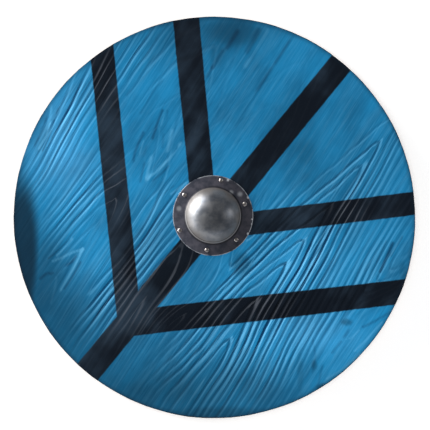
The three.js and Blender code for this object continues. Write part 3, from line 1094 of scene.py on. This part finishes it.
# The flange's outer rim, broken up: polished smoother, and pale with a painted glint
polished_edge_and_glint = steel.rise(boss_radius, 84.5 * MM, 85.3 * MM) * steel.rise(cloud, -0.16, 0.06)
spot_fray = speckle * (3 * MM) + cloud * (4 * MM)
scuffs_and_glints = None
for spot_x, spot_y, reach, amount in SCUFFS_AND_GLINTS:
    far = steel.distance(boss_x - spot_x * MM, boss_y - spot_y * MM) + spot_fray
    spot = (1 - steel.rise(far, 0.2 * reach * MM, reach * MM)) * amount
    scuffs_and_glints = spot if scuffs_and_glints is None else steel.most(scuffs_and_glints, spot)
ring_side = steel.rise(boss_y + cloud * 0.05, 34 * MM, -10 * MM)
foot_line = ring_mark(*FOOT_RING)
patches = steel.rise(cloud, -0.2, 0.2)
dome_tone = steel.mix(patches, DOME_DULL, DOME_BRIGHT)
# A painted reflection: the dome's outer band is tinted warmer and made less metallic, so that it shows less
# of the blue board
reflection_band = steel.rise(boss_radius, 38 * MM, 58 * MM)
dome_tone = steel.mix(reflection_band * 0.6, dome_tone, DOME_EDGE_REFLECTION)
dome_tone = steel.mix(foot_line * ring_side * 0.5, dome_tone, FOOT_SHADE)
# Painted shade: the dome's outer part darker towards the right and the upper right
painted_shade_right = steel.rise(boss_x * 0.94 + boss_y * 0.34, -38 * MM, 5 * MM)
dome_tone = steel.scale(dome_tone, 1 - steel.rise(boss_radius, 34 * MM, 47 * MM) * painted_shade_right * 0.22)
flange_tone = steel.mix(patches, FLANGE_DARK, FLANGE_GREY)
to_left = steel.rise(boss_x - boss_y * 0.2, 70 * MM, -70 * MM)
flange_tone = steel.scale(flange_tone, 0.72 + to_left * 0.62)
# A painted glint along the flange's rim
flange_tone = steel.mix(polished_edge_and_glint * 0.8, flange_tone, RIM_GLINT)
steel_tone = steel.mix(flange_share, dome_tone, flange_tone)
# Pale scuffs, painted glints on the flange's rim and pale spots on the dome, one a painted reflection
steel_tone = steel.mix(scuffs_and_glints * 0.8, steel_tone, SCUFF_AND_GLINT_PALE)
# A painted highlight on the thin ring at the dome's foot, on its lower side
steel_tone = steel.mix(ring_mark(*HIGHLIGHT_RING) * ring_side * 0.8, steel_tone, RING_HIGHLIGHT)
# Painted shade in the crease of the fillet
steel_tone = steel.mix(ring_mark(*CREASE_RING) * 0.6, steel_tone, CREASE_SHADE)
steel_roughness = 0.42 + flange_share * 0.14 + cloud * 0.12 + speckle * 0.06 - polished_edge_and_glint * 0.2
wear(boss, steel.finish(
    Base_Color=steel_tone,
    Metallic=1.0 - steel.most(flange_share * 0.45, reflection_band * 0.35),
    Roughness=steel_roughness,
    Normal=steel.bump(dents * 0.6 + speckle * 0.1 - foot_line * 0.5, 0.35 * MM, 0.6),
))
print("boss steel ready")

# %% Rivet steel
RIVET_DULL = paint_colour(186, 178, 176)
RIVET_BRIGHT = paint_colour(232, 226, 222)

rivet_steel = Bench("rivet_steel")
rivet_cloud = rivet_steel.noise(rivet_steel.place(), 300, 2)
rivet_material = rivet_steel.finish(
    Base_Color=rivet_steel.mix(0.5 + rivet_cloud, RIVET_DULL, RIVET_BRIGHT),
    Metallic=1.0,
    Roughness=0.29 + rivet_cloud * 0.2,
    Normal=rivet_steel.bump(rivet_cloud, 0.2 * MM, 0.5),
)
for rivet in rivets:
    wear(rivet, rivet_material)
print("rivet steel ready")

# %% [markdown]
# ## The grip
#
# Behind the board a plain bar of ash is held by two of the boss's rivets and by a screw in each
# end. The CAD bar and the CAD screws already have their shapes, so they only need a material.

# %% Grip
GRIP_ANGLE = math.radians(139.14)
ASH_DARK = paint_colour(108, 76, 46)
ASH_PALE = paint_colour(178, 136, 88)
ASH_HANDLED = paint_colour(84, 58, 36)

ash = Bench("grip_wood")
x, y, z = ash.split(ash.place())
grip_along, grip_across = turned(x, y, GRIP_ANGLE)
grip_place = (grip_along, grip_across, z)
ash_grain = ash.fibres(grip_place, (9, 260, 260), 3.0, 0.6)
ash_rings = ash.fibres(grip_place, (2.5, 60, 90), 2.0, 0.5)
ash_tone = ash.rise(ash_grain + ash_rings * 0.7, -0.35, 0.35)
ash_colour = ash.mix(ash_tone, ASH_DARK, ASH_PALE)
handled = 1 - ash.rise(abs(grip_along), 30 * MM, 70 * MM)
ash_colour = ash.mix(handled * 0.4, ash_colour, ASH_HANDLED)
wear(nodes["grip_bar"], ash.finish(
    Base_Color=ash_colour,
    Roughness=0.62 - handled * 0.16 + ash_grain * 0.1,
    Normal=ash.bump(ash_grain, 0.4 * MM, 0.5),
))
print("grip ready")

# %% Screws
SCREW_DULL = paint_colour(96, 92, 88)
SCREW_BRIGHT = paint_colour(150, 148, 146)

screw_steel = Bench("screw_steel")
screw_cloud = screw_steel.noise(screw_steel.place(), 260, 3)
screw_material = screw_steel.finish(
    Base_Color=screw_steel.mix(0.5 + screw_cloud, SCREW_DULL, SCREW_BRIGHT),
    Metallic=1.0,
    Roughness=0.4 + screw_cloud * 0.2,
)
for name in ("grip_screw_1", "grip_screw_2"):
    wear(nodes[name], screw_material)
print("screws ready")
